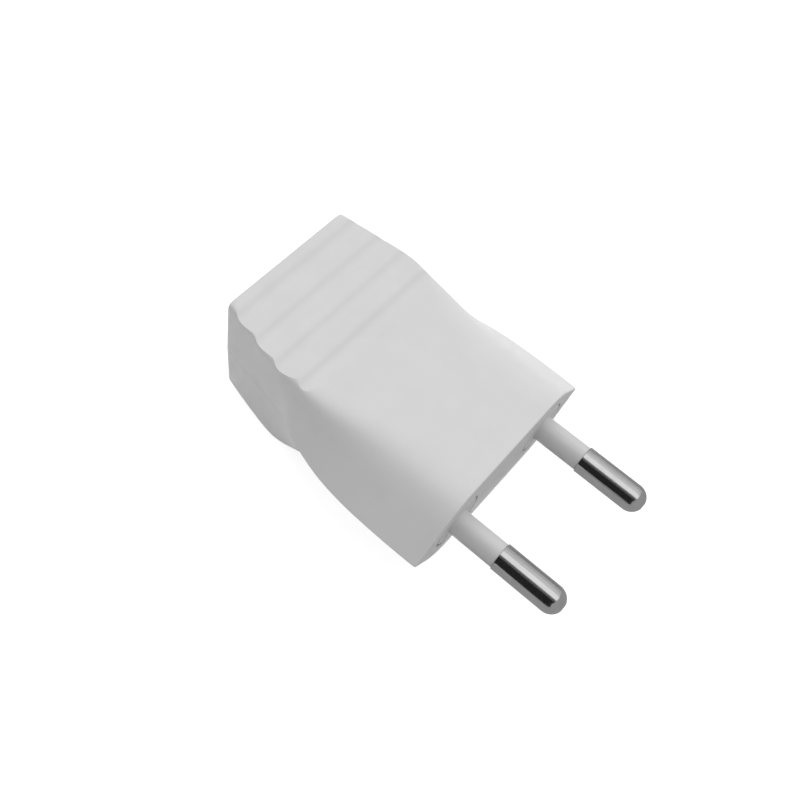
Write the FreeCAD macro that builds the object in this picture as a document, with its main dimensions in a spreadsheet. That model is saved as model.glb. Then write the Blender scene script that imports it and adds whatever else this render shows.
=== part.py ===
import FreeCAD, Part
import math
import os
import Sketcher

# A rewirable europlug. The origin is the middle of the front face, +X runs along the pins and +Z is up.
# Two moulded half shells part at mid-height and clamp the sleeved pins; lengths are millimetres.
# Names that end in _back are distances behind the front face.
DIMENSIONS = {
    # Plan of the case at the parting plane and at the top of the lofted blank, from the rear to the face
    "case_length": 39.4,
    "rear_half": 11.4,
    "rear_crown_half": 11.05,
    "grip_back": 28.2,
    "grip_half": 13.5,
    "grip_crown_half": 13.15,
    "shoulder_back": 25.0,
    "shoulder_half": 15.0,
    "shoulder_crown_half": 12.1,
    "waist_back": 20.0,
    "waist_half": 16.6,
    "waist_crown_half": 10.6,
    "flare_back": 13.0,
    "flare_half": 17.9,
    "flare_crown_half": 9.6,
    "face_half_width": 18.0,
    "face_crown_half": 9.0,
    "blank_height": 11.0,
    "margin": 1.0,
    # Side view of the case: flat nose and short ramp, then steps on the upper half, a belly on the lower
    "face_half_height": 6.85,
    "flat_back": 13.0,
    "ramp_top": 8.2,
    "last_riser_back": 25.2,
    "riser_run": 0.5,
    "last_crest": 8.7,
    "rib_pitch": 4.0,
    "rib_fall": 0.42,
    "rib_depth": 0.5,
    "rear_top": 10.1,
    "belly_front": 22.5,
    "belly_start": 7.3,
    "belly_back": 29.6,
    "belly_depth": 9.9,
    "belly_rear": 9.0,
    "belly_round": 6.0,
    "nose_bevel": 1.4,
    "rib_round": 0.35,
    "rim_bevel": 0.3,
    "rear_bevel": 0.4,
    # Hollow of the case
    "front_wall": 3.5,
    "hollow_half": 12.7,
    "hollow_bend_back": 18.0,
    "hollow_neck_back": 26.0,
    "hollow_neck_half": 10.8,
    "hollow_rear_half": 9.6,
    "rear_wall": 2.0,
    "hollow_depth": 4.6,
    "cord_space_depth": 6.4,
    "cord_entry_radius": 3.5,
    # Pins and their moulded sleeves
    "pin_half_spacing": 9.5,
    "pin_reach": 17.1,
    "pin_radius": 2.0,
    "tip_length": 1.92,
    "tip_flat": 0.56,
    "sleeve_reach": 7.0,
    "sleeve_radius": 1.84,
    "sleeve_lip": 0.25,
    "core_radius": 1.5,
    "core_gap": 0.02,
    "collar_radius": 4.0,
    "collar_thick": 1.85,
    "neck_radius": 2.8,
    "neck_end": 4.75,
    "fit_gap": 0.05,
    "barrel_radius": 2.75,
    "barrel_front": 4.9,
    "barrel_end": 14.5,
    "wire_bore_radius": 1.4,
    "wire_bore_depth": 6.0,
    # Ribs in the shells that hold the pin barrels
    "cradle_inner": 6.3,
    "cradle_thick": 1.2,
    "front_cradle_back": 7.6,
    "rear_cradle_back": 14.0,
    # Screws
    "terminal_back": 10.4,
    "terminal_shank": 1.45,
    "terminal_tip": 0.4,
    "terminal_seat": 2.85,
    "terminal_head": 2.3,
    "terminal_head_top": 4.3,
    "case_screw_back": 19.0,
    "case_shank": 1.45,
    "case_tip": 3.8,
    "case_seat": 4.2,
    "case_head": 2.75,
    "case_head_end": 6.2,
    "case_hole_radius": 1.65,
    "case_pocket_radius": 3.1,
    "boss_radius": 4.4,
    "pilot_radius": 1.48,
    "pilot_depth": 4.4,
    "slot_half_width": 0.35,
    "slot_depth": 0.8,
    # Cord clamp, its posts and its two screws
    "clamp_back": 30.5,
    "clamp_half_depth": 2.6,
    "clamp_half": 9.4,
    "clamp_foot_inner": 4.2,
    "clamp_arch_inner": 2.9,
    "clamp_rise_outer": 4.7,
    "clamp_arch_outer": 3.6,
    "post_top": 0.8,
    "clamp_seat": 2.4,
    "clamp_arch_under": 2.5,
    "clamp_arch_top": 4.1,
    "clamp_screw_offset": 7.2,
    "clamp_hole_radius": 1.7,
    "clamp_shank": 1.4,
    "clamp_head": 2.2,
    "clamp_head_top": 4.0,
    "clamp_tip": 4.6,
    "post_radius": 2.4,
    "post_hole_radius": 1.43,
    "post_hole_end": 5.2,
    "saddle_top": 2.6,
    "saddle_half": 4.0,
    "saddle_half_depth": 1.0,
}
STATIONS = ("grip", "shoulder", "waist", "flare")
STEPS = 4
SIDES = {"left": -1, "right": 1}
# An edge that strays less than this from a plane lies in it
TINY = 0.05

doc = FreeCAD.newDocument("Europlug")


def make_sheet():
    """Put every driving dimension in a named cell."""
    sheet = doc.addObject("Spreadsheet::Sheet", "Dims")
    for row, (alias, value) in enumerate(DIMENSIONS.items(), 1):
        sheet.set(f"A{row}", alias)
        sheet.set(f"B{row}", str(value))
        sheet.setAlias(f"B{row}", alias)
    doc.recompute()


def terms(text):
    """Split a size such as 'case_length - rear_wall' into its words and signs."""
    return text.replace("-", " - ").replace("+", " + ").split()


def measure(text):
    """Work out a size that is a sum of dimensions and plain numbers."""
    total = 0.0
    sign = 1.0
    for term in terms(text):
        if term == "-":
            sign = -sign
        elif term != "+":
            total += sign * (DIMENSIONS[term] if term in DIMENSIONS else float(term))
            sign = 1.0
    return total


def bound(text):
    """Write the same size as an expression on the sheet."""
    return " ".join("Dims." + term if term in DIMENSIONS else term for term in terms(text))


def turned(text, way):
    """Give the size the other sign where way is negative."""
    if way > 0 or text == "0":
        return text
    swap = {"+": "-", "-": "+"}
    flipped = " ".join(swap.get(term, term) for term in terms(text))
    return flipped.lstrip("+ ") if flipped.startswith("+") else "- " + flipped


def new_body(label):
    """Start a sub-part."""
    body = doc.addObject("PartDesign::Body", label)
    body.Label = label
    return body


def add_sketch(body, name, role, offset=None):
    """Lay a sketch on one of the body's own origin planes, raised by an offset along its normal."""
    sketch = body.newObject("Sketcher::SketchObject", name)
    plane = [feature for feature in body.Origin.OriginFeatures if feature.Role == role][0]
    sketch.AttachmentSupport = [(plane, "")]
    sketch.MapMode = "FlatFace"
    if offset:
        sketch.setExpression("AttachmentOffset.Base.z", bound(offset))
    return sketch


def spot(sizes):
    """Give the point of a sketch with these two coordinates."""
    across, up = sizes
    return FreeCAD.Vector(measure(across), measure(up), 0)


def bind(sketch, constraint, text):
    """Add a dimension to a sketch and tie it to the sheet."""
    index = sketch.addConstraint(constraint)
    sketch.setExpression(f"Constraints[{index}]", bound(text))


def locate(sketch, item, point, across, up):
    """Place a point of a sketch by its two coordinates."""
    for kind, axis, text in (("DistanceX", -2, across), ("DistanceY", -1, up)):
        if text == "0":
            sketch.addConstraint(Sketcher.Constraint("PointOnObject", item, point, axis))
        else:
            bind(sketch, Sketcher.Constraint(kind, -1, 1, item, point, measure(text)), text)


def side_of(start, end, centre=None):
    """Make one side of an outline: a straight line, or an arc that runs anticlockwise round a centre."""
    if centre is None:
        return Part.LineSegment(start, end)
    angles = [math.atan2(point.y - centre.y, point.x - centre.x) for point in (start, end)]
    ring = Part.Circle(centre, FreeCAD.Vector(0, 0, 1), (start - centre).Length)
    return Part.ArcOfCircle(ring, *angles)


def polygon(sketch, corners, arcs={}):
    """Draw a closed outline through pairs of sizes; arcs gives a centre and radius for each bent side."""
    points = [spot(corner) for corner in corners]
    first = sketch.GeometryCount
    count = len(points)
    for place in range(count):
        centre = spot(arcs[place][:2]) if place in arcs else None
        sketch.addGeometry(side_of(points[place], points[(place + 1) % count], centre), False)
    for place in range(count):
        follow = first + (place + 1) % count
        sketch.addConstraint(Sketcher.Constraint("Coincident", first + place, 2, follow, 1))
    for place, (across, up) in enumerate(corners):
        locate(sketch, first + place, 1, across, up)
    for place, (across, up, radius) in arcs.items():
        bind(sketch, Sketcher.Constraint("Radius", first + place, measure(radius)), radius)


def circle(sketch, across, up, radius):
    """Draw a circle."""
    centre = spot((across, up))
    item = sketch.addGeometry(Part.Circle(centre, FreeCAD.Vector(0, 0, 1), measure(radius)), False)
    locate(sketch, item, 3, across, up)
    bind(sketch, Sketcher.Constraint("Radius", item, measure(radius)), radius)


def extrude(body, kind, sketch, length=None, reverse=False, both=False):
    """Pad or pocket a sketch, and make sure that the solid really changed."""
    before = body.Tip.Shape.Volume if body.Tip else 0.0
    feature = body.newObject("PartDesign::" + kind, sketch.Name + "_" + kind.lower())
    feature.Profile = sketch
    feature.Reversed = reverse
    if both:
        feature.SideType = "Symmetric"
    if length:
        feature.setExpression("Length", bound(length))
    else:
        feature.Type = "ThroughAll"
    doc.recompute()
    if abs(feature.Shape.Volume - before) < TINY:
        raise RuntimeError(feature.Name + " changed nothing")


def ease_edges(body, kind, name, size, wanted):
    """Round (Fillet) or bevel (Chamfer) the edges of the body that pass a test."""
    base = body.Tip
    edges = [f"Edge{place}" for place, edge in enumerate(base.Shape.Edges, 1) if wanted(edge)]
    feature = body.newObject("PartDesign::" + kind, name)
    feature.Base = (base, edges)
    feature.setExpression("Radius" if kind == "Fillet" else "Size", bound(size))
    doc.recompute()
    if feature.Shape.isNull():
        raise RuntimeError(f"{name} failed on {len(edges)} edges")


def revolve(body, sketch, axis):
    """Turn a half outline about one of the sketch's own axes."""
    turn = body.newObject("PartDesign::Revolution", sketch.Name + "_turned")
    turn.Profile = sketch
    turn.ReferenceAxis = (sketch, [axis])
    turn.Angle = 360
    doc.recompute()


def case_section(body, way, place, name):
    """Draw one cross-section of the case blank: sloping sides above the parting plane, a stub below it."""
    half = name + ("_half" if name != "face" else "_half_width")
    crown = name + "_crown_half"
    top = turned("blank_height", way)
    below = turned("-margin", way)
    sketch = add_sketch(body, f"{body.Name}_{name}", "YZ_Plane", place)
    polygon(sketch, [("-" + half, below), (half, below), (half, "0"), (crown, top),
                     ("-" + crown, top), ("-" + half, "0")])
    return sketch


def case_loft(body, name, sections):
    """Join cross-sections into one length of the case."""
    loft = body.newObject("PartDesign::AdditiveLoft", f"{body.Name}_{name}")
    loft.Profile = sections[0]
    loft.Sections = sections[1:]
    doc.recompute()


def case_blank(body, way):
    """Loft the straight grip and the flared front of one shell, then cut it flat at the parting plane."""
    rear = case_section(body, way, "-case_length", "rear")
    flared = [case_section(body, way, f"-{name}_back", name) for name in STATIONS]
    flared.append(case_section(body, way, None, "face"))
    doc.recompute()
    case_loft(body, "grip", [rear, flared[0]])
    case_loft(body, "front", flared)
    parting = add_sketch(body, body.Name + "_parting", "XY_Plane")
    side = "face_half_width + margin"
    back = "-case_length - margin"
    polygon(parting, [(back, turned(side, -1)), ("margin", turned(side, -1)), ("margin", side), (back, side)])
    extrude(body, "Pocket", parting, reverse=way < 0)


def stepped_grip():
    """Give the side view of the upper half's grip, from the shoulder up over its steps."""
    outline = [("-last_riser_back", "ramp_top")]
    for count in range(STEPS):
        foot = "-last_riser_back" + " - rib_pitch" * count
        crest = "last_crest" + " + rib_fall" * count
        if count:
            outline.append((foot, crest + " - rib_depth"))
        outline.append((foot + " - riser_run", crest))
    return outline + [("-case_length - margin", "rear_top")]


def plain_grip():
    """Give the side view of the lower half's grip: a plain belly."""
    return [("-belly_front", "belly_start"), ("-belly_back", "belly_depth"),
            ("-case_length - margin", "belly_rear")]


def case_side_view(body, way, grip):
    """Cut the side view: flat nose, short ramp, then the grip up to the rear."""
    rear = "-case_length - margin"
    above = "blank_height + margin"
    nose = "face_half_height"
    outline = [("margin", nose), ("-flat_back", nose)] + grip + [(rear, above), ("margin", above)]
    side_view = add_sketch(body, body.Name + "_side_view", "XZ_Plane")
    polygon(side_view, [(across, turned(up, way)) for across, up in outline])
    extrude(body, "Pocket", side_view, both=True)


def case_edges(body, grip_round):
    """Ease the nose, the bends of the grip, the rim of the front face and the rear end."""
    nose_end = -measure("last_riser_back") - TINY
    rear_start = TINY - measure("case_length")

    def above_parting(edge):
        return abs(edge.CenterOfMass.z) > TINY

    def beside_nose(edge):
        box = edge.BoundBox
        return box.XLength > TINY and above_parting(edge) and box.XMin > nose_end

    def across_grip(edge):
        box = edge.BoundBox
        return box.YLength > measure("rear_half") and rear_start < box.XMin and box.XMax < nose_end

    def face_rim(edge):
        return edge.BoundBox.XMin > -TINY and above_parting(edge)

    def rear_rim(edge):
        return edge.BoundBox.XMax < rear_start and above_parting(edge)

    for kind, size, wanted in (("Chamfer", "nose_bevel", beside_nose), ("Fillet", grip_round, across_grip),
                               ("Chamfer", "rim_bevel", face_rim), ("Chamfer", "rear_bevel", rear_rim)):
        ease_edges(body, kind, f"{body.Name}_{size}", size, wanted)


def case_hollow(body, way):
    """Hollow one shell, with the collar seats at the front and the cord's way out at the rear."""
    up = way > 0
    rear = "-case_length + rear_wall"
    side = [("-front_wall", "hollow_half"), ("-hollow_bend_back", "hollow_half"),
            ("-hollow_neck_back", "hollow_neck_half"), (rear, "hollow_rear_half")]
    hollow = add_sketch(body, body.Name + "_hollow", "XY_Plane")
    polygon(hollow, side + [(across, "-" + half) for across, half in reversed(side)])
    extrude(body, "Pocket", hollow, "hollow_depth", reverse=up)
    cord = add_sketch(body, body.Name + "_cord_space", "XY_Plane")
    polygon(cord, [("-hollow_neck_back", "hollow_neck_half"), (rear, "hollow_rear_half"),
                   (rear, "-hollow_rear_half"), ("-hollow_neck_back", "-hollow_neck_half")])
    extrude(body, "Pocket", cord, "cord_space_depth", reverse=up)
    entry = add_sketch(body, body.Name + "_cord_entry", "YZ_Plane", "-case_length")
    circle(entry, "0", "0", "cord_entry_radius")
    extrude(body, "Pocket", entry, "rear_wall + margin", reverse=True)


def case_cradles(body, way):
    """Stand the ribs that carry the pin barrels, then bore the seats of the sleeves and barrels."""
    cradles = add_sketch(body, body.Name + "_cradles", "XY_Plane")
    for back in ("front_cradle_back", "rear_cradle_back"):
        front = "-" + back + " + cradle_thick"
        for sign in ("", "-"):
            polygon(cradles, [("-" + back, sign + "cradle_inner"), (front, sign + "cradle_inner"),
                              (front, sign + "hollow_half"), ("-" + back, sign + "hollow_half")])
    extrude(body, "Pad", cradles, "hollow_depth", reverse=way < 0)
    seats = (("collar", None, "collar_radius + fit_gap", "collar_thick + fit_gap"),
             ("neck", None, "neck_radius + fit_gap", "front_wall + margin"),
             ("barrel", "-front_wall", "barrel_radius + fit_gap", "barrel_end"))
    for name, start, radius, depth in seats:
        sketch = add_sketch(body, f"{body.Name}_{name}_seats", "YZ_Plane", start)
        for sign in ("", "-"):
            circle(sketch, sign + "pin_half_spacing", "0", radius)
        extrude(body, "Pocket", sketch, depth)


def drill(body, name, spots, radius, level=None, depth=None, reverse=False):
    """Bore like holes straight up or down from one level."""
    sketch = add_sketch(body, body.Name + "_" + name, "XY_Plane", level)
    for across, up in spots:
        circle(sketch, across, up, radius)
    extrude(body, "Pocket", sketch, depth, reverse)


def raise_posts(body, name, spots, radius, length, level=None, reverse=False):
    """Stand like round posts on one level."""
    sketch = add_sketch(body, body.Name + "_" + name, "XY_Plane", level)
    for across, up in spots:
        circle(sketch, across, up, radius)
    extrude(body, "Pad", sketch, length, reverse)


def both_sides(back, offset):
    """Give the two mirrored spots at one distance behind the face."""
    return [("-" + back, offset), ("-" + back, "-" + offset)]


def make_shell(label, way, grip, grip_round):
    """Mould one bare half of the case; way is +1 for the upper half and -1 for the lower."""
    body = new_body(label)
    case_blank(body, way)
    case_side_view(body, way, grip)
    case_edges(body, grip_round)
    case_hollow(body, way)
    case_cradles(body, way)
    raise_posts(body, "boss", [("-case_screw_back", "0")], "boss_radius", "hollow_depth", reverse=way < 0)
    return body


def make_upper_shell():
    """The half on top: its boss takes the case screw."""
    body = make_shell("upper_shell", 1, stepped_grip(), "rib_round")
    drill(body, "pilot", [("-case_screw_back", "0")], "pilot_radius", depth="pilot_depth", reverse=True)


def make_lower_shell():
    """The half that lies on the table: it carries the case screw's head and the cord clamp's posts."""
    body = make_shell("lower_shell", -1, plain_grip(), "belly_round")
    drill(body, "screw_hole", [("-case_screw_back", "0")], "case_hole_radius")
    drill(body, "screw_pocket", [("-case_screw_back", "0")], "case_pocket_radius", "-case_seat")
    posts = both_sides("clamp_back", "clamp_screw_offset")
    raise_posts(body, "posts", posts, "post_radius", "post_top + cord_space_depth", "post_top", True)
    drill(body, "post_holes", posts, "post_hole_radius", "post_top", "post_top + post_hole_end")
    saddle = add_sketch(body, "saddle", "XY_Plane", "-saddle_top")
    front = "-clamp_back + saddle_half_depth"
    rear = "-clamp_back - saddle_half_depth"
    polygon(saddle, [(rear, "-saddle_half"), (front, "-saddle_half"),
                     (front, "saddle_half"), (rear, "saddle_half")])
    extrude(body, "Pad", saddle, "cord_space_depth - saddle_top", reverse=True)


def at_pin(body, sign):
    """Move a sub-part on to the axis of one pin."""
    body.setExpression("Placement.Base.y", f"{sign} * Dims.pin_half_spacing")


def make_pin(side, sign):
    """A turned contact pin: domed tip, thin core inside the sleeve and a barrel that takes the wire."""
    body = new_body(side + "_pin")
    outline = add_sketch(body, body.Name + "_outline", "XZ_Plane")
    ball = "pin_reach - tip_length"
    polygon(outline, [("pin_reach", "0"), ("pin_reach", "tip_flat"), (ball, "pin_radius"),
                      ("sleeve_reach", "pin_radius"),
                      ("sleeve_reach", "core_radius"), ("-barrel_front", "core_radius"),
                      ("-barrel_front", "barrel_radius"), ("-barrel_end", "barrel_radius"),
                      ("-barrel_end", "0")], {1: (ball, "0", "pin_radius")})
    revolve(body, outline, "H_Axis")
    bore = add_sketch(body, body.Name + "_wire_bore", "YZ_Plane", "-barrel_end")
    circle(bore, "0", "0", "wire_bore_radius")
    extrude(body, "Pocket", bore, "wire_bore_depth", reverse=True)
    drill(body, "screw_hole", [("-terminal_back", "0")], "terminal_shank + fit_gap", reverse=True)
    at_pin(body, sign)


def make_sleeve(side, sign):
    """A moulded insulating sleeve: tube on the pin, collar in the face, and a neck that the shells grip."""
    body = new_body(side + "_pin_sleeve")
    outline = add_sketch(body, body.Name + "_outline", "XZ_Plane")
    bore = "core_radius + core_gap"
    polygon(outline, [("sleeve_reach - fit_gap", bore), ("sleeve_reach - fit_gap", "sleeve_radius"),
                      ("0", "sleeve_radius"), ("0", "collar_radius - sleeve_lip"),
                      ("-sleeve_lip", "collar_radius"), ("-collar_thick", "collar_radius"),
                      ("-collar_thick", "neck_radius"), ("-neck_end", "neck_radius"), ("-neck_end", bore)])
    revolve(body, outline, "H_Axis")
    at_pin(body, sign)


def make_screw(label, shank, tip, seat, head, head_top, spot, way=1):
    """A slotted screw that stands on Z, with its head at the top, or at the bottom where way is -1."""
    body = new_body(label)
    sketch = add_sketch(body, label + "_outline", "XZ_Plane")
    low, middle, high = [turned(level, way) for level in (tip, seat, head_top)]
    polygon(sketch, [("0", low), (shank, low), (shank, middle), (head, middle), (head, high), ("0", high)])
    revolve(body, sketch, "V_Axis")
    slot = add_sketch(body, label + "_slot", "XY_Plane", high)
    side = "slot_half_width"
    polygon(slot, [("-" + side, "-" + head), (side, "-" + head), (side, head), ("-" + side, head)])
    extrude(body, "Pocket", slot, "slot_depth", reverse=way < 0)
    for axis, text in zip("xy", spot):
        body.setExpression(f"Placement.Base.{axis}", bound(text))


def make_clamp():
    """The moulded bar that holds the cord: two flat feet on the posts and an arch over the cord."""
    body = new_body("cord_clamp")
    sketch = add_sketch(body, "clamp_outline", "YZ_Plane")
    right = [("clamp_arch_inner", "clamp_arch_under"), ("clamp_foot_inner", "post_top"),
             ("clamp_half", "post_top"), ("clamp_half", "clamp_seat"),
             ("clamp_rise_outer", "clamp_seat"), ("clamp_arch_outer", "clamp_arch_top")]
    polygon(sketch, right + [("-" + across, up) for across, up in reversed(right)])
    extrude(body, "Pad", sketch, "clamp_half_depth + clamp_half_depth", both=True)
    drill(body, "holes", [("0", "clamp_screw_offset"), ("0", "-clamp_screw_offset")], "clamp_hole_radius",
          reverse=True)
    body.setExpression("Placement.Base.x", "-Dims.clamp_back")


def check_model():
    """Stop if any feature failed or any sub-part is not one sound solid."""
    for item in doc.Objects:
        if "Invalid" in item.State or "Error" in item.State:
            raise RuntimeError(item.Name + " failed: " + str(item.State))
    bodies = [item for item in doc.Objects if item.TypeId == "PartDesign::Body"]
    for body in bodies:
        shape = body.Shape
        if shape.isNull() or not shape.isValid() or len(shape.Solids) != 1:
            raise RuntimeError(body.Label + " is not one valid solid")
    return bodies


make_sheet()
make_upper_shell()
make_lower_shell()
for side, sign in SIDES.items():
    make_pin(side, sign)
    make_sleeve(side, sign)
    pin_offset = "pin_half_spacing" if sign > 0 else "-pin_half_spacing"
    clamp_offset = "clamp_screw_offset" if sign > 0 else "-clamp_screw_offset"
    make_screw(side + "_terminal_screw", "terminal_shank", "terminal_tip", "terminal_seat", "terminal_head",
               "terminal_head_top", ("-terminal_back", pin_offset))
    make_screw(side + "_clamp_screw", "clamp_shank", "-clamp_tip", "clamp_seat", "clamp_head",
               "clamp_head_top", ("-clamp_back", clamp_offset))
make_clamp()
make_screw("case_screw", "case_shank", "-case_tip", "case_seat", "case_head", "case_head_end",
           ("-case_screw_back", "0"), way=-1)
doc.recompute()
os.makedirs("parts", exist_ok=True)
for body in check_model():
    body.Shape.exportStep(f"parts/{body.Label}.step")
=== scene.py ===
import math

import bmesh
import bpy
from mathutils import Matrix, Vector


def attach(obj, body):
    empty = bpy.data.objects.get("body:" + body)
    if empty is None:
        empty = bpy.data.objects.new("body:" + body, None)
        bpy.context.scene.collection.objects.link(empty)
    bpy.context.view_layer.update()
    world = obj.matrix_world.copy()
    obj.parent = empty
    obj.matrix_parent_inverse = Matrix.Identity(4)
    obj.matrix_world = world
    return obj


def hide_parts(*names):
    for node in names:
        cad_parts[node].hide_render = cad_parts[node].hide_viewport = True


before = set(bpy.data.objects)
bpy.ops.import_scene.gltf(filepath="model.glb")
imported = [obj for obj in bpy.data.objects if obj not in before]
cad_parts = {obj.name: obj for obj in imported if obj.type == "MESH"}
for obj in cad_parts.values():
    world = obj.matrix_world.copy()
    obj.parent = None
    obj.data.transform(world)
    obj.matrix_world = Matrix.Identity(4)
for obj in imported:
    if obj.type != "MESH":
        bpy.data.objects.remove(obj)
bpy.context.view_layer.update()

# The lower shell is the half of the case that the works are laid in. It is injection moulded in white
# thermoplastic with a fine satin skin, and has a plain belly outside and the clamp's posts and saddle
# inside. It meets the upper shell at mid-height, where the case is widest.
# Lengths here are millimetres, and an object is given metres when its mesh is finished.
MM = 0.001
CASE_LENGTH = 39.4
SHELL_LEVELS = 3
END_SOFT = {-CASE_LENGTH: 0.55, 0.0: 0.45}
END_TOLERANCE = 0.01
SEAM_BEVEL = 0.07
SEAM_SEGMENTS = 2
WELD = 0.001
# Sections of the case from the rear to the face. Each gives the place and half width of the parting edge,
# then the place, half width, height and softness of the top corner and of the bottom corner.
SECTIONS = (
    ((-39.4, 11.40), (-39.4, 11.08, 10.02, 1.5), (-39.4, 11.20, 8.95, 1.0)),
    ((-38.6, 11.55), (-38.6, 11.23, 9.99, 1.6), (-38.6, 11.38, 9.05, 1.0)),
    ((-34.5, 12.32), (-34.5, 12.01, 9.64, 1.7), (-34.5, 12.26, 9.60, 1.0)),
    ((-30.5, 13.06), (-31.0, 12.67, 9.28, 1.7), (-31.0, 12.95, 9.84, 1.0)),
    ((-26.6, 13.79), (-28.9, 13.08, 9.08, 1.7), (-29.0, 13.28, 9.78, 1.0)),
    ((-25.4, 14.55), (-27.4, 13.06, 8.92, 1.6), (-27.2, 13.38, 9.24, 1.0)),
    ((-24.4, 15.10), (-26.2, 13.02, 8.80, 1.6), (-25.4, 13.32, 8.54, 1.1)),
    ((-23.6, 15.45), (-24.7, 13.02, 8.32, 1.8), (-24.3, 13.20, 8.10, 1.2)),
    ((-22.0, 16.00), (-23.0, 13.10, 7.98, 2.6), (-22.6, 13.00, 7.56, 1.4)),
    ((-19.8, 16.70), (-20.3, 12.80, 7.64, 3.2), (-20.3, 12.90, 7.20, 2.0)),
    ((-17.3, 17.35), (-17.3, 12.10, 7.28, 3.6), (-17.3, 12.82, 7.03, 2.6)),
    ((-14.5, 17.78), (-14.5, 11.65, 7.02, 4.1), (-14.5, 12.77, 6.92, 3.4)),
    ((-11.0, 18.12), (-11.0, 11.35, 6.90, 4.7), (-11.0, 12.65, 6.87, 4.0)),
    ((-5.00, 18.25), (-5.00, 11.28, 6.85, 5.0), (-5.00, 12.50, 6.85, 4.9)),
    ((-0.45, 18.17), (-0.45, 11.24, 6.85, 5.0), (-0.45, 12.42, 6.85, 5.2)),
    ((0.000, 18.14), (0.000, 11.24, 6.83, 5.0), (0.000, 12.40, 6.83, 5.2)),
)


def section_points(edge, corner):
    """Give the points of half a section, from the parting edge over its corner to the middle."""
    corner_x, half, height, soft = corner
    foot = Vector((edge[0], edge[1], 0.0))
    crown = Vector((corner_x, half, height))
    below = crown.lerp(foot, soft / (foot - crown).length)
    beside = crown - Vector((0.0, soft, 0.0))
    return [foot, foot.lerp(below, 0.5), below, crown, beside,
            Vector((corner_x, half / 2, height)), Vector((corner_x, 0.0, height))]


def close_end(mesh, x, soft):
    """Close the open end of a half case at one place along its length, with a soft rim."""
    ring = [edge for edge in mesh.edges
            if edge.is_boundary and all(abs(vert.co.x - x) < END_TOLERANCE for vert in edge.verts)]
    face = bmesh.ops.contextual_create(mesh, geom=ring)["faces"][0]
    bmesh.ops.inset_region(mesh, faces=[face], thickness=soft, use_boundary=False, use_even_offset=True)


def case_half(rows):
    """Model the outer form of one half of the case as a cage, the right way up for the upper half."""
    mesh = bmesh.new()
    grid = bmesh.ops.create_grid(mesh, x_segments=len(rows[0]) - 1, y_segments=len(rows) - 1, size=1.0)
    places = [point for row in rows for point in row]
    for vert, place in zip(grid["verts"], places):
        vert.co = place
    everything = mesh.verts[:] + mesh.edges[:] + mesh.faces[:]
    bmesh.ops.mirror(mesh, geom=everything, axis="Y", merge_dist=WELD)
    for x, soft in END_SOFT.items():
        close_end(mesh, x, soft)
    bmesh.ops.recalc_face_normals(mesh, faces=mesh.faces[:])
    return mesh


def object_from(name, mesh):
    """Make a mesh object of a finished bmesh, in metres."""
    bmesh.ops.scale(mesh, vec=(MM, MM, MM), verts=mesh.verts[:])
    data = bpy.data.meshes.new(name)
    mesh.to_mesh(data)
    mesh.free()
    piece = bpy.data.objects.new(name, data)
    bpy.context.scene.collection.objects.link(piece)
    return piece


def apply_modifiers(piece):
    """Make what the modifiers of a piece show its real mesh."""
    bpy.context.view_layer.update()
    shown = piece.evaluated_get(bpy.context.evaluated_depsgraph_get())
    data = bpy.data.meshes.new_from_object(shown)
    piece.modifiers.clear()
    piece.data = data


def outer_half(name, rows):
    """Turn a cage into a closed solid with a fine round edge along the seam."""
    half = object_from(name, case_half(rows))
    smooth = half.modifiers.new("round", "SUBSURF")
    smooth.levels = SHELL_LEVELS
    smooth.render_levels = SHELL_LEVELS
    apply_modifiers(half)
    mesh = bmesh.new()
    mesh.from_mesh(half.data)
    seam = [edge for edge in mesh.edges if edge.is_boundary]
    bmesh.ops.contextual_create(mesh, geom=seam)
    bmesh.ops.bevel(mesh, geom=seam, offset=SEAM_BEVEL * MM, affect="EDGES", segments=SEAM_SEGMENTS,
                    profile=0.5, material=-1)
    bmesh.ops.recalc_face_normals(mesh, faces=mesh.faces[:])
    mesh.to_mesh(half.data)
    mesh.free()
    return half


def flipped(piece):
    """Turn a half over to make it the lower one."""
    mesh = bmesh.new()
    mesh.from_mesh(piece.data)
    bmesh.ops.scale(mesh, vec=(1, 1, -1), verts=mesh.verts[:])
    bmesh.ops.reverse_faces(mesh, faces=mesh.faces[:])
    mesh.to_mesh(piece.data)
    mesh.free()


def combine(piece, tool, operation):
    """Combine a piece with a tool's shape, and delete the tool."""
    modifier = piece.modifiers.new("combine", "BOOLEAN")
    modifier.operation = operation
    modifier.solver = "EXACT"
    modifier.object = tool
    apply_modifiers(piece)
    bpy.data.objects.remove(tool)


def cut(piece, tool):
    """Cut a tool's shape out of a piece."""
    combine(piece, tool, "DIFFERENCE")


def join(piece, tool):
    """Join a tool's shape on to a piece."""
    combine(piece, tool, "UNION")


ROUND_SEGMENTS = 96
ALONG_X = Matrix.Rotation(math.pi / 2, 4, "Y")
UPRIGHT = Matrix.Identity(4)


def bar(name, radius, start, length, turn):
    """Model a round tool that runs from a start point, upright before it is turned."""
    mesh = bmesh.new()
    bmesh.ops.create_cone(mesh, cap_ends=True, segments=ROUND_SEGMENTS, radius1=radius, radius2=radius,
                          depth=length)
    bmesh.ops.translate(mesh, vec=(0, 0, length / 2), verts=mesh.verts[:])
    bmesh.ops.transform(mesh, matrix=Matrix.Translation(start) @ turn, verts=mesh.verts[:])
    return object_from(name, mesh)


def prism(name, outline, reach):
    """Model a tool that is a flat outline extruded by a vector."""
    mesh = bmesh.new()
    base = mesh.faces.new([mesh.verts.new(point) for point in outline])
    top = bmesh.ops.extrude_face_region(mesh, geom=[base])
    moved = [item for item in top["geom"] if isinstance(item, bmesh.types.BMVert)]
    bmesh.ops.translate(mesh, vec=reach, verts=moved)
    bmesh.ops.recalc_face_normals(mesh, faces=mesh.faces[:])
    return object_from(name, mesh)


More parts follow.
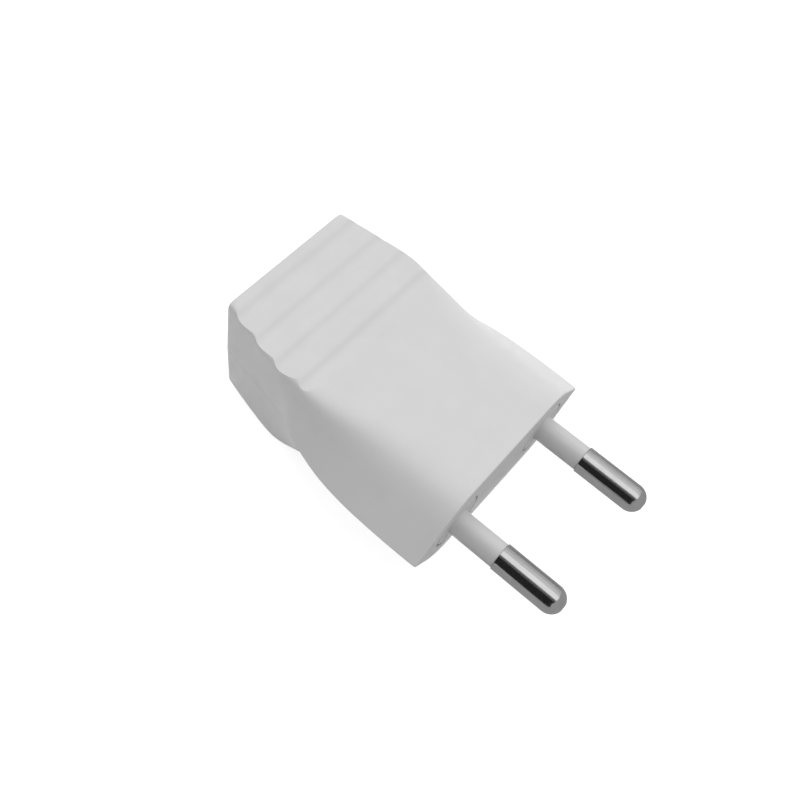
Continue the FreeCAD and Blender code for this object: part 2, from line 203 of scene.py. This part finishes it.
def room(name, plan, depth):
    """Model a tool with a plan that is the same on both sides, this deep each way from the seam."""
    outline = [(x, y, -depth) for x, y in plan] + [(x, -y, -depth) for x, y in reversed(plan)]
    return prism(name, outline, (0, 0, 2 * depth))


# The rooms, seats and holes that the two halves share. Plans are places along the case and half widths.
HOLLOW_PLAN = ((-3.5, 12.7), (-18.0, 12.7), (-26.0, 10.8), (-37.4, 9.6))
HOLLOW_DEPTH = 4.6
CORD_PLAN = ((-26.0, 10.8), (-37.4, 9.6))
CORD_DEPTH = 6.4
CORD_ENTRY_RADIUS = 3.5
CORD_ENTRY_LENGTH = 4.0
PIN_SPACING = 9.5
COLLAR_SEAT_RADIUS = 4.2
COLLAR_SEAT_DEPTH = 1.9
BARREL_SEAT_RADIUS = 2.85
BARREL_SEAT_REAR = -14.5
CRADLES = ((-7.6, -6.4), (-14.0, -12.8))
CRADLE_INNER = 6.3
CRADLE_OUTER = 13.0
SCREW_X = -19.0
BOSS_RADIUS = 4.4
SCREW_HOLE_RADIUS = 1.65
SCREW_HOLE_REACH = 4.4
CLEAR_HEIGHT = 12.0
PROUD = 1.0


def hollow_out(shell):
    """Cut the rooms for the works round the boss and the pins' cradles, the cord's way in and the seats."""
    hollow = room("hollow", HOLLOW_PLAN, HOLLOW_DEPTH)
    cut(hollow, bar("boss", BOSS_RADIUS, (SCREW_X, 0, -CLEAR_HEIGHT), 2 * CLEAR_HEIGHT, UPRIGHT))
    for rear, front in CRADLES:
        for side in (-1, 1):
            plan = ((rear, CRADLE_INNER), (front, CRADLE_INNER), (front, CRADLE_OUTER), (rear, CRADLE_OUTER))
            outline = [(x, side * y, -CLEAR_HEIGHT) for x, y in plan]
            cut(hollow, prism("cradle", outline, (0, 0, 2 * CLEAR_HEIGHT)))
    cut(shell, hollow)
    cut(shell, room("cord_room", CORD_PLAN, CORD_DEPTH))
    cut(shell, bar("entry", CORD_ENTRY_RADIUS, (-CASE_LENGTH - PROUD, 0, 0), CORD_ENTRY_LENGTH, ALONG_X))
    for side in (-1, 1):
        start = (-COLLAR_SEAT_DEPTH, side * PIN_SPACING, 0)
        cut(shell, bar("seat", COLLAR_SEAT_RADIUS, start, COLLAR_SEAT_DEPTH + PROUD, ALONG_X))
        start = (BARREL_SEAT_REAR, side * PIN_SPACING, 0)
        cut(shell, bar("barrel_seat", BARREL_SEAT_RADIUS, start, -BARREL_SEAT_REAR, ALONG_X))
    cut(shell, bar("screw_hole", SCREW_HOLE_RADIUS, (SCREW_X, 0, -CLEAR_HEIGHT),
                   CLEAR_HEIGHT + SCREW_HOLE_REACH, UPRIGHT))


# What only the lower half has: the pocket for the screw's head, and the clamp's posts and saddle.
POCKET_RADIUS = 3.1
POCKET_DEPTH = 4.2
POST_X = -30.5
POST_SPACING = 7.2
POST_RADIUS = 2.4
POST_TOP = 0.8
POST_ROOT = -6.6
POST_HOLE_RADIUS = 1.43
POST_HOLE_END = -5.2
SADDLE_TOP = -2.6
SADDLE_PLAN = ((-31.5, 4.0), (-29.5, 4.0))


def lower_half():
    """Model the lower half: the belly, the rooms inside, the pocket below, the posts and the saddle."""
    rows = [section_points(edge, bottom) for edge, top, bottom in SECTIONS]
    shell = outer_half("lower_shell_moulding", rows)
    flipped(shell)
    hollow_out(shell)
    below_screw = (SCREW_X, 0, -CLEAR_HEIGHT)
    cut(shell, bar("pocket", POCKET_RADIUS, below_screw, CLEAR_HEIGHT - POCKET_DEPTH, UPRIGHT))
    for side in (-1, 1):
        root = (POST_X, side * POST_SPACING, POST_ROOT)
        join(shell, bar("post", POST_RADIUS, root, POST_TOP - POST_ROOT, UPRIGHT))
        hole_end = (POST_X, side * POST_SPACING, POST_HOLE_END)
        cut(shell, bar("post_hole", POST_HOLE_RADIUS, hole_end, POST_TOP - POST_HOLE_END + PROUD, UPRIGHT))
    plan = SADDLE_PLAN + tuple((x, -y) for x, y in reversed(SADDLE_PLAN))
    outline = [(x, y, POST_ROOT) for x, y in plan]
    join(shell, prism("saddle", outline, (0, 0, SADDLE_TOP - POST_ROOT)))
    return shell


def clean_up(piece):
    """Part a shell into triangles, and take out the empty ones that the cuts leave."""
    mesh = bmesh.new()
    mesh.from_mesh(piece.data)
    bmesh.ops.triangulate(mesh, faces=mesh.faces[:])
    bmesh.ops.remove_doubles(mesh, verts=mesh.verts[:], dist=WELD * MM)
    bmesh.ops.dissolve_degenerate(mesh, edges=mesh.edges[:], dist=WELD * MM)
    mesh.to_mesh(piece.data)
    mesh.free()


SHARP_ANGLE = 35


def smooth_shaded(piece):
    """Shade a piece smooth, apart from its sharp edges, with its large faces kept flat."""
    piece.data.shade_smooth()
    piece.data.set_sharp_from_angle(angle=math.radians(SHARP_ANGLE))
    flat = piece.modifiers.new("flat", "WEIGHTED_NORMAL")
    flat.keep_sharp = True
    apply_modifiers(piece)


def new_material(name):
    """Start a node material, and give its nodes, links and main shader."""
    material = bpy.data.materials.new(name)
    material.use_nodes = True
    nodes = material.node_tree.nodes
    return material, nodes, material.node_tree.links, nodes["Principled BSDF"]


def add_noise(nodes, links, scale, detail):
    """Add a noise on Object coordinates."""
    place = nodes.new("ShaderNodeTexCoord")
    noise = nodes.new("ShaderNodeTexNoise")
    noise.inputs["Scale"].default_value = scale
    noise.inputs["Detail"].default_value = detail
    links.new(place.outputs["Object"], noise.inputs["Vector"])
    return noise.outputs["Fac"]


# Where in a noise a gloss and a blend of colours start and end.
GLOSS_START = 0.3
GLOSS_END = 0.7
BLEND_START = 0.35
BLEND_END = 0.65


def vary_gloss(nodes, links, shader, pattern, rough, spread):
    """Let a shader's roughness vary by a pattern, this far each way."""
    gloss = nodes.new("ShaderNodeMapRange")
    gloss.inputs["From Min"].default_value = GLOSS_START
    gloss.inputs["From Max"].default_value = GLOSS_END
    gloss.inputs["To Min"].default_value = rough - spread
    gloss.inputs["To Max"].default_value = rough + spread
    links.new(pattern, gloss.inputs["Value"])
    links.new(gloss.outputs["Result"], shader.inputs["Roughness"])


def blend_colours(nodes, links, shader, pattern, first, second):
    """Let a shader's colour vary between two by a pattern."""
    ramp = nodes.new("ShaderNodeValToRGB")
    ramp.color_ramp.elements[0].position = BLEND_START
    ramp.color_ramp.elements[0].color = first + (1.0,)
    ramp.color_ramp.elements[1].position = BLEND_END
    ramp.color_ramp.elements[1].color = second + (1.0,)
    links.new(pattern, ramp.inputs["Fac"])
    links.new(ramp.outputs["Color"], shader.inputs["Base Color"])


def add_bump(nodes, links, shader, pattern, strength, depth):
    """Raise a shader's surface by a pattern."""
    bump = nodes.new("ShaderNodeBump")
    bump.inputs["Strength"].default_value = strength
    bump.inputs["Distance"].default_value = depth * MM
    links.new(pattern, bump.inputs["Height"])
    links.new(bump.outputs["Normal"], shader.inputs["Normal"])


FLOW_SCALE = 220.0
FLOW_DETAIL = 3.0
SATIN_SCALE = 900.0
SATIN_DETAIL = 2.0
SATIN_SPREAD = 0.06
GRAIN_SCALE = 5200.0
GRAIN_DETAIL = 3.0
GRAIN_STRENGTH = 0.12
GRAIN_DEPTH = 0.03


def satin_plastic(name, first, second, rough):
    """A moulded plastic: faint flow marks in its colour, an uneven satin gloss and a fine blasted grain."""
    material, nodes, links, shader = new_material(name)
    blend_colours(nodes, links, shader, add_noise(nodes, links, FLOW_SCALE, FLOW_DETAIL), first, second)
    vary_gloss(nodes, links, shader, add_noise(nodes, links, SATIN_SCALE, SATIN_DETAIL), rough, SATIN_SPREAD)
    add_bump(nodes, links, shader, add_noise(nodes, links, GRAIN_SCALE, GRAIN_DETAIL), GRAIN_STRENGTH,
             GRAIN_DEPTH)
    return material


SHELL_WHITE = (0.79, 0.79, 0.79)
SHELL_WHITE_DEEP = (0.77, 0.77, 0.77)
SHELL_ROUGHNESS = 0.46
shell_finish = satin_plastic("white_satin_moulding", SHELL_WHITE, SHELL_WHITE_DEEP, SHELL_ROUGHNESS)


def finish_shell(shell, node):
    """Clean, shade and finish a modelled half, and let it stand for its CAD piece."""
    clean_up(shell)
    smooth_shaded(shell)
    shell.data.materials.clear()
    shell.data.materials.append(shell_finish)
    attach(shell, "root")
    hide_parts(node)


finish_shell(lower_half(), "lower_shell")

# The contact pins are turned from brass rod with a round tip, then bright nickel plated. The plate shows
# the fine rings of the turning and small differences in gloss. They lie in the shells' cradles.
NICKEL = (0.70, 0.70, 0.70)
NICKEL_DEEP = (0.65, 0.65, 0.65)
NICKEL_ROUGHNESS = 0.16
NICKEL_RINGS = 1600.0
MOTTLE_SCALE = 700.0
MOTTLE_DETAIL = 3.0
MOTTLE_SPREAD = 0.03
RING_DISTORTION = 1.5
RING_DETAIL = 2.0
RING_STRENGTH = 0.05
RING_DEPTH = 0.01


def turned_metal(name, first, second, rough, rings):
    """A turned and plated metal: rings across X, a slight mottle and an uneven gloss."""
    material, nodes, links, shader = new_material(name)
    shader.inputs["Metallic"].default_value = 1.0
    mottle = add_noise(nodes, links, MOTTLE_SCALE, MOTTLE_DETAIL)
    blend_colours(nodes, links, shader, mottle, first, second)
    vary_gloss(nodes, links, shader, mottle, rough, MOTTLE_SPREAD)
    place = nodes.new("ShaderNodeTexCoord")
    marks = nodes.new("ShaderNodeTexWave")
    marks.bands_direction = "X"
    marks.inputs["Scale"].default_value = rings
    marks.inputs["Distortion"].default_value = RING_DISTORTION
    marks.inputs["Detail"].default_value = RING_DETAIL
    links.new(place.outputs["Object"], marks.inputs["Vector"])
    add_bump(nodes, links, shader, marks.outputs["Fac"], RING_STRENGTH, RING_DEPTH)
    return material


def dress(names, finish):
    """Give CAD pieces their finish."""
    for name in names:
        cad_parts[name].material_slots[0].material = finish


nickel_finish = turned_metal("bright_nickel_plate", NICKEL, NICKEL_DEEP, NICKEL_ROUGHNESS, NICKEL_RINGS)
dress(("left_pin", "right_pin"), nickel_finish)

# The insulating sleeves are moulded on to the pins in the same white plastic, with a smoother skin than the
# case.
# Their white is set darker than the case's white, as painted shade. Each has a round collar that lies flush
# in the front face, where the two shells clamp it.
SLEEVE_SHADED_WHITE = (0.70, 0.70, 0.70)
SLEEVE_SHADED_WHITE_DEEP = (0.68, 0.68, 0.68)
SLEEVE_ROUGHNESS = 0.38
sleeve_finish = satin_plastic("white_smooth_moulding", SLEEVE_SHADED_WHITE, SLEEVE_SHADED_WHITE_DEEP, SLEEVE_ROUGHNESS)
dress(("left_pin_sleeve", "right_pin_sleeve"), sleeve_finish)

# The cord clamp is a plain moulded bar in off-white plastic. It lies across the posts of the lower shell,
# and two screws pull it down over the cord.
CLAMP_WHITE = (0.70, 0.70, 0.69)
CLAMP_WHITE_DEEP = (0.66, 0.66, 0.65)
CLAMP_ROUGHNESS = 0.5
clamp_finish = satin_plastic("clamp_moulding", CLAMP_WHITE, CLAMP_WHITE_DEEP, CLAMP_ROUGHNESS)
dress(("cord_clamp",), clamp_finish)

# The screws inside are turned from steel and zinc plated. One in the end of each pin holds a wire, and two
# hold the bar of the cord clamp down on its posts.
ZINC = (0.58, 0.59, 0.61)
ZINC_DEEP = (0.50, 0.51, 0.52)
ZINC_ROUGHNESS = 0.34
ZINC_RINGS = 2400.0
zinc_finish = turned_metal("zinc_plated_steel", ZINC, ZINC_DEEP, ZINC_ROUGHNESS, ZINC_RINGS)
dress(("left_terminal_screw", "right_terminal_screw", "left_clamp_screw", "right_clamp_screw"), zinc_finish)

# The upper shell closes the case over the works. It is moulded in the same white plastic as the lower one,
# with a flared nose and a grip that has four finger steps across it.
RIBS = 4
RIB_PITCH = 4.0
RIB_DEPTH = 0.68
RISER_RUN = 1.1
CREST_X = -25.9
CREST_HEIGHT = 8.72
CREST_FALL = 0.375
CREST_ROUND = 1.5
FOOT_ROUND = 2.0
ARC_STEPS = 8
CLEAR_HALF = 20.0


def rounded_corner(before, corner, after, radius):
    """Give the points of the arc that rounds one corner of an outline."""
    back = (before - corner).normalized()
    on = (after - corner).normalized()
    half_angle = back.angle(on) / 2
    centre = corner + (back + on).normalized() * radius / math.sin(half_angle)
    start = (corner + back * radius / math.tan(half_angle) - centre).normalized()
    end = (corner + on * radius / math.tan(half_angle) - centre).normalized()
    return [centre + start.slerp(end, step / ARC_STEPS) * radius for step in range(ARC_STEPS + 1)]


def rib_cutter():
    """Model the tool that cuts the finger steps: a saw-toothed side view with soft crests and feet."""
    crest = Vector((CREST_X, -CLEAR_HALF, CREST_HEIGHT))
    corners = []
    for rib in range(RIBS):
        peak = crest + Vector((-RIB_PITCH, 0, CREST_FALL)) * rib
        corners += [peak + Vector((RISER_RUN, 0, -RIB_DEPTH)), peak]
    start = corners[0] + Vector((RIB_PITCH, 0, 0))
    end = corners[-1] + Vector((-RIB_PITCH, 0, CREST_FALL))
    line = [start] + corners + [end]
    outline = [start]
    for place in range(1, len(line) - 1):
        radius = FOOT_ROUND if place % 2 else CREST_ROUND
        outline += rounded_corner(*line[place - 1:place + 2], radius)
    outline += [end] + [Vector((x, -CLEAR_HALF, CLEAR_HEIGHT)) for x in (end.x, start.x)]
    return prism("steps", outline, (0, 2 * CLEAR_HALF, 0))


def upper_half():
    """Model the upper half: its long edges are rounded first and the finger steps are cut afterwards."""
    rows = [section_points(edge, top) for edge, top, bottom in SECTIONS]
    shell = outer_half("upper_shell_moulding", rows)
    cut(shell, rib_cutter())
    hollow_out(shell)
    return shell


finish_shell(upper_half(), "upper_shell")

# The case screw, in the same zinc plated steel, goes in last. Its head lies in the pocket of the lower
# shell, and it forms its own thread in the boss of the upper one.
dress(("case_screw",), zinc_finish)

# The plug lies on a plain white table that leans with its underside, so that the lower edge of the face
# and the belly both rest on it. The table is white to the camera and in reflections, keeps a soft shadow,
# and can be seen through from below.
FLOOR_HALF_SIZE = 600
FLOOR_FRONT = (-0.4, -6.85)
FLOOR_REAR = (-30.2, -9.86)
FLOOR_GAP = 0.02
FLOOR_GREY = 0.55
FLOOR_GLOW = 0.8
SEEN = ("Is Camera Ray", "Is Glossy Ray", "Is Transmission Ray")

slope = (FLOOR_FRONT[1] - FLOOR_REAR[1]) / (FLOOR_FRONT[0] - FLOOR_REAR[0])
contact = Vector((FLOOR_REAR[0], 0, FLOOR_REAR[1] - FLOOR_GAP))
lean = Matrix.Translation(contact) @ Matrix.Rotation(-math.atan(slope), 4, "Y")
floor_mesh = bmesh.new()
bmesh.ops.create_grid(floor_mesh, x_segments=1, y_segments=1, size=FLOOR_HALF_SIZE)
bmesh.ops.transform(floor_mesh, matrix=lean, verts=floor_mesh.verts[:])
floor = object_from("table", floor_mesh)


def any_ray(nodes, links, kinds):
    """Give 1 for rays of any of these kinds."""
    path = nodes.new("ShaderNodeLightPath")
    result = path.outputs[kinds[0]]
    for kind in kinds[1:]:
        either = nodes.new("ShaderNodeMath")
        either.operation = "MAXIMUM"
        links.new(result, either.inputs[0])
        links.new(path.outputs[kind], either.inputs[1])
        result = either.outputs["Value"]
    return result


def white_table():
    """A matt white that glows where it is seen directly, and lets the camera look through from below."""
    material, nodes, links, shader = new_material("white_table")
    output = nodes["Material Output"]
    nodes.remove(shader)
    matt = nodes.new("ShaderNodeBsdfDiffuse")
    matt.inputs["Color"].default_value = (FLOOR_GREY, FLOOR_GREY, FLOOR_GREY, 1)
    glow = nodes.new("ShaderNodeEmission")
    glow.inputs["Strength"].default_value = FLOOR_GLOW
    lit = nodes.new("ShaderNodeAddShader")
    links.new(matt.outputs["BSDF"], lit.inputs[0])
    links.new(glow.outputs["Emission"], lit.inputs[1])
    above = nodes.new("ShaderNodeMixShader")
    links.new(any_ray(nodes, links, SEEN), above.inputs["Fac"])
    links.new(matt.outputs["BSDF"], above.inputs[1])
    links.new(lit.outputs["Shader"], above.inputs[2])
    facing = nodes.new("ShaderNodeNewGeometry")
    under = nodes.new("ShaderNodeMath")
    under.operation = "MULTIPLY"
    links.new(facing.outputs["Backfacing"], under.inputs[0])
    links.new(any_ray(nodes, links, SEEN[:1]), under.inputs[1])
    clear = nodes.new("ShaderNodeBsdfTransparent")
    both = nodes.new("ShaderNodeMixShader")
    links.new(under.outputs["Value"], both.inputs["Fac"])
    links.new(above.outputs["Shader"], both.inputs[1])
    links.new(clear.outputs["BSDF"], both.inputs[2])
    links.new(both.outputs["Shader"], output.inputs["Surface"])
    return material


floor.data.materials.append(white_table())

# Studio light: a white room that is dimmer to matt surfaces than it looks, and one large soft lamp high on
# the right, which reflections don't show.
ROOM_LEVEL = 0.465
KEY_LEVEL = 1.46
KEY_WIDTH = 90
KEY_TURN = 39

world = bpy.data.worlds.new("studio")
bpy.context.scene.world = world
world.use_nodes = True
room_nodes = world.node_tree.nodes
room_links = world.node_tree.links
walls = room_nodes["Background"]
walls.inputs["Color"].default_value = (1, 1, 1, 1)
brightness = room_nodes.new("ShaderNodeMapRange")
brightness.inputs["To Min"].default_value = ROOM_LEVEL
brightness.inputs["To Max"].default_value = 1.0
room_links.new(any_ray(room_nodes, room_links, SEEN), brightness.inputs["Value"])
room_links.new(brightness.outputs["Result"], walls.inputs["Strength"])

key = bpy.data.lights.new("key", "SUN")
key.energy = KEY_LEVEL
key.angle = math.radians(KEY_WIDTH)
key_lamp = bpy.data.objects.new("key", key)
key_lamp.rotation_euler = (-math.radians(KEY_TURN), 0, 0)
key_lamp.visible_glossy = False
bpy.context.scene.collection.objects.link(key_lamp)

# Cards stand round the plug, and the camera doesn't see them. Reflections show the strips, the tip card and
# the table card, as the dark and grey bands that give plated metal its depth. The shade card keeps light
# off the front face.
# Each strip runs along the plug between two angles from straight up, towards the right where positive, and
# has a brightness.
STRIP_CARDS = (("black_card", -92, -32, 0.02), ("dark_card", -32, -15, 0.13), ("pale_card", 20, 50, 0.68),
               ("grey_card", 50, 77, 0.52), ("edge_card", 77, 92, 0.28))
STRIP_DISTANCE = 300
STRIP_HALF_LENGTH = 500
TIP_CARD_LEVEL = 0.36
TABLE_CARD_LEVEL = 0.36
TABLE_CARD_RISE = 0.4
TABLE_CARD_START = 1
END_CARD_X = 150
END_CARD_HALF = 250
END_CARD_FOOT = -10
END_CARD_TOP = 150
SHADE_LEVEL = 0.42
RAYS = ("camera", "diffuse", "glossy", "shadow", "transmission")


def add_card(name, corners, level, seen_by):
    """Stand a plain card in the studio that only one kind of ray meets."""
    mesh = bmesh.new()
    mesh.faces.new([mesh.verts.new(corner) for corner in corners])
    card = object_from(name, mesh)
    material, nodes, links, shader = new_material(name)
    shader.inputs["Base Color"].default_value = (0, 0, 0, 1)
    shader.inputs["Specular IOR Level"].default_value = 0.0
    shader.inputs["Emission Color"].default_value = (1, 1, 1, 1)
    shader.inputs["Emission Strength"].default_value = level
    card.data.materials.append(material)
    for ray in RAYS:
        setattr(card, "visible_" + ray, ray == seen_by)


for name, first, last, level in STRIP_CARDS:
    near, far = [Vector((0, math.sin(math.radians(angle)), math.cos(math.radians(angle)))) * STRIP_DISTANCE
                 for angle in (first, last)]
    along = Vector((STRIP_HALF_LENGTH, 0, 0))
    add_card(name, (near - along, near + along, far + along, far - along), level, "glossy")
end_corners = [(END_CARD_X, y, z)
               for y, z in ((-END_CARD_HALF, END_CARD_FOOT), (END_CARD_HALF, END_CARD_FOOT),
                            (END_CARD_HALF, END_CARD_TOP), (-END_CARD_HALF, END_CARD_TOP))]
add_card("tip_card", end_corners, TIP_CARD_LEVEL, "glossy")
table_corners = [(x, y, FLOOR_FRONT[1] + slope * x + TABLE_CARD_RISE)
                 for x, y in ((TABLE_CARD_START, -STRIP_DISTANCE), (END_CARD_X, -STRIP_DISTANCE),
                              (END_CARD_X, STRIP_DISTANCE), (TABLE_CARD_START, STRIP_DISTANCE))]
add_card("table_card", table_corners, TABLE_CARD_LEVEL, "glossy")
add_card("shade_card", end_corners, SHADE_LEVEL, "diffuse")

# The camera looks down on the plug from the front left, turned a little on its axis.
CAMERA_PLACE = Vector((13.945, -63.069, 117.538))
CAMERA_AIM = Vector((-16.868, -0.959, 0.0))
CAMERA_ROLL = 15.594
CAMERA_LENS = 45.0
CAMERA_SENSOR = 36.0
CAMERA_NEAR = 10

camera = bpy.data.cameras.new("camera")
camera.lens = CAMERA_LENS
camera.sensor_width = CAMERA_SENSOR
camera.clip_start = CAMERA_NEAR * MM
viewer = bpy.data.objects.new("camera", camera)
look = (CAMERA_AIM - CAMERA_PLACE).to_track_quat("-Z", "Y").to_matrix().to_4x4()
roll = Matrix.Rotation(math.radians(CAMERA_ROLL), 4, "Z")
viewer.matrix_world = Matrix.Translation(CAMERA_PLACE * MM) @ look @ roll
bpy.context.scene.collection.objects.link(viewer)
bpy.context.scene.camera = viewer
bpy.context.scene.view_settings.view_transform = "Standard"
